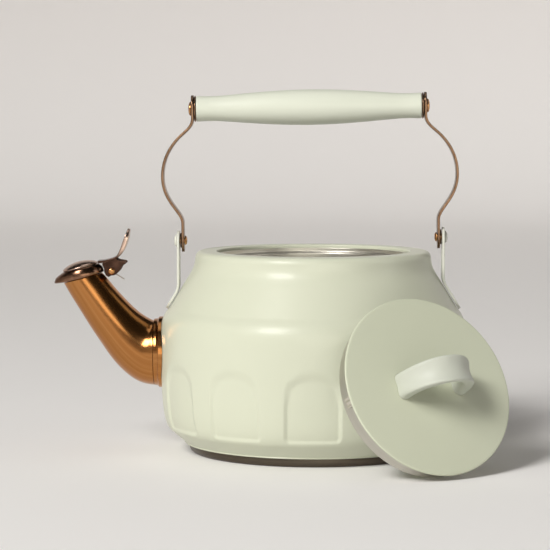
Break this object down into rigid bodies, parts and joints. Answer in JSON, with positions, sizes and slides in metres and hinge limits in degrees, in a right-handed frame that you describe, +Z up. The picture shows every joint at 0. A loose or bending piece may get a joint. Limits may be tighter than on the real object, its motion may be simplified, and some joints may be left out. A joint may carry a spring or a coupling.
{
  "type": "stovetop whistling kettle",
  "caption": "Squat coated-steel stovetop kettle with pressed arch panels, a plated spout with a sprung whistle flap, a swinging bail handle and a loose drop-in lid.",
  "frame": {"origin": "on the pot's axis, in the plane of the underside that it stands on", "axes": "+Z up along the pot's axis, -X towards the spout, +X away from it, -Y towards the side that the lid leans on"},
  "size_m": [0.2763, 0.2329, 0.224],
  "materials": {
    "sage_enamel": "smooth satin-gloss sage green coating on steel",
    "bare_steel": "bare stainless steel, turned",
    "core_aluminium": "rolled, hidden inside the base",
    "copper_plate": "polished copper-coloured plating with fine lengthwise polishing lines",
    "dark_bronze": "darker polished bronze-coloured plating",
    "spring_steel": "bright steel",
    "sage_wood": "turned wood under a smooth pale sage paint",
    "sage_moulding": "heat-proof moulding in pale sage, satin"
  },
  "bodies": {
    "pot": {"body_shell": "sage_enamel", "base_cap": "bare_steel", "heat_spreader": "core_aluminium", "pot_floor": "bare_steel", "lid_seat": "bare_steel", "spout_tube": "copper_plate", "spout_collar": "copper_plate", "spout_lip": "copper_plate", "hinge_bracket": "dark_bronze", "flap_spring": "spring_steel", "ear_left": "sage_enamel", "ear_right": "sage_enamel", "ear_rivet_left": "copper_plate", "ear_rivet_right": "copper_plate", "ear_washer_left": "dark_bronze", "ear_washer_right": "dark_bronze"},
    "bail": {"bail_strap_left": "dark_bronze", "bail_strap_right": "dark_bronze", "grip": "sage_wood", "grip_ferrule_left": "dark_bronze", "grip_ferrule_right": "dark_bronze", "grip_screw_left": "copper_plate", "grip_screw_right": "copper_plate"},
    "flap": {"flap_cap": "dark_bronze", "whistle_disc": "bare_steel", "thumb_lever": "dark_bronze", "hinge_pin": "copper_plate"},
    "lid": {"lid_plate": "sage_enamel", "lid_skirt": "bare_steel", "lid_handle": "sage_moulding", "lid_screw_left": "spring_steel", "lid_screw_right": "spring_steel", "lid_clip": "spring_steel"}
  },
  "joints": [
    {"name": "bail_swing", "type": "hinge", "parent": "pot", "child": "bail", "pos_m": [-0.0015, 0, 0.1316], "axis": [0.9999, 0, 0.0148], "range_deg": [-84, 84]},
    {"name": "flap_hinge", "type": "hinge", "parent": "pot", "child": "flap", "pos_m": [-0.1249, 0, 0.1117], "axis": [0, 1, 0], "range_deg": [0, 60], "stiffness_Nm_per_rad": 0.03, "springref_deg": -34.38, "deforming": ["flap_spring"]},
    {"name": "lid_lift", "type": "slide", "parent": "pot", "child": "lid", "axis": [0.4, -0.66, 0.6359], "range_m": [0, 0.12]}
  ]
}
